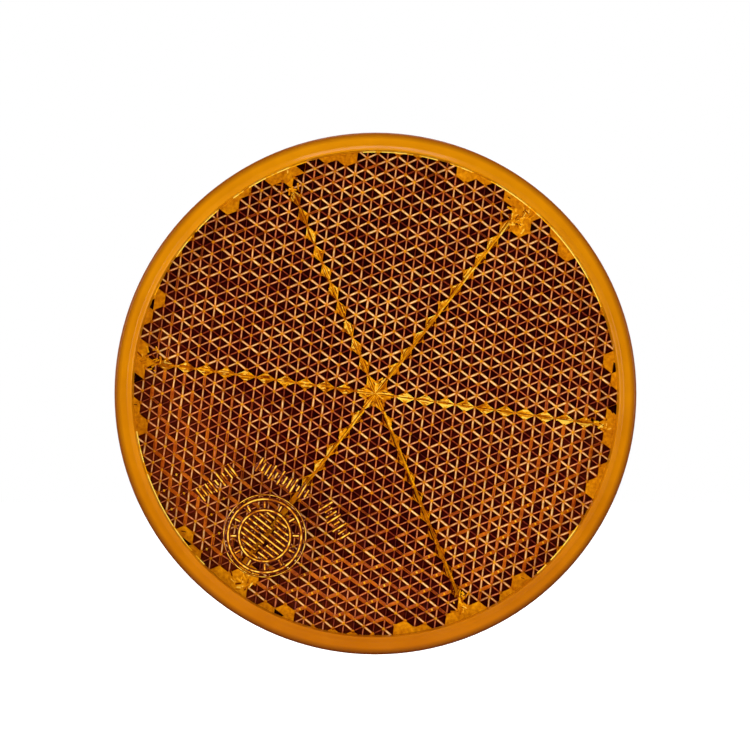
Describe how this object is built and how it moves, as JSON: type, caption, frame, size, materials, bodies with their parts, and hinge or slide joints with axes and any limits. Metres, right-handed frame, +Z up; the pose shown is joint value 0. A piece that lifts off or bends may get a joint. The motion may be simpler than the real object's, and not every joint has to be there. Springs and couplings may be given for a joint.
{
  "type": "round reflex reflector",
  "caption": "Round amber reflex reflector with a hexagonal cube-corner lens in six sectors, a welded back plate and a rear mounting stud with nut.",
  "frame": {"origin": "on the optical axis, at the surface of the panel that the reflector is fixed to, where the gasket's rear face lies", "axes": "-Y is the direction the lens faces, +Y runs along the stud through the panel, +Z is up, +X is to the right as seen from the front"},
  "size_m": [0.06, 0.0251, 0.06],
  "materials": {
    "amber_lens": "clear amber acrylic, polished face over dark glossy prisms",
    "amber_housing": "moulded amber ABS with a fine satin texture",
    "zinc_steel": "bright zinc-plated steel",
    "seal_rubber": "black nitrile rubber",
    "gasket_foam": "closed-cell black foam with die-cut edges"
  },
  "bodies": {
    "root": {"lens": "amber_lens", "back_plate": "amber_housing", "stud_bolt": "zinc_steel", "stud_seal": "seal_rubber", "panel_gasket": "gasket_foam", "flat_washer": "zinc_steel"},
    "nut_carrier": {"captive_washer": "zinc_steel"},
    "nut": {"hex_nut": "zinc_steel"}
  },
  "joints": [
    {"name": "nut_travel", "type": "slide", "parent": "root", "child": "nut_carrier", "axis": [0, 1, 0], "range_m": [0, 0.0088]},
    {"name": "nut_spin", "type": "hinge", "parent": "nut_carrier", "child": "nut", "pos_m": [0, 0.004, 0], "axis": [0, 1, 0], "range_deg": [0, 3960]}
  ],
  "couplings": [
    {"joint": "nut_spin", "follows": "nut_travel", "rad_per_m": 7854}
  ]
}
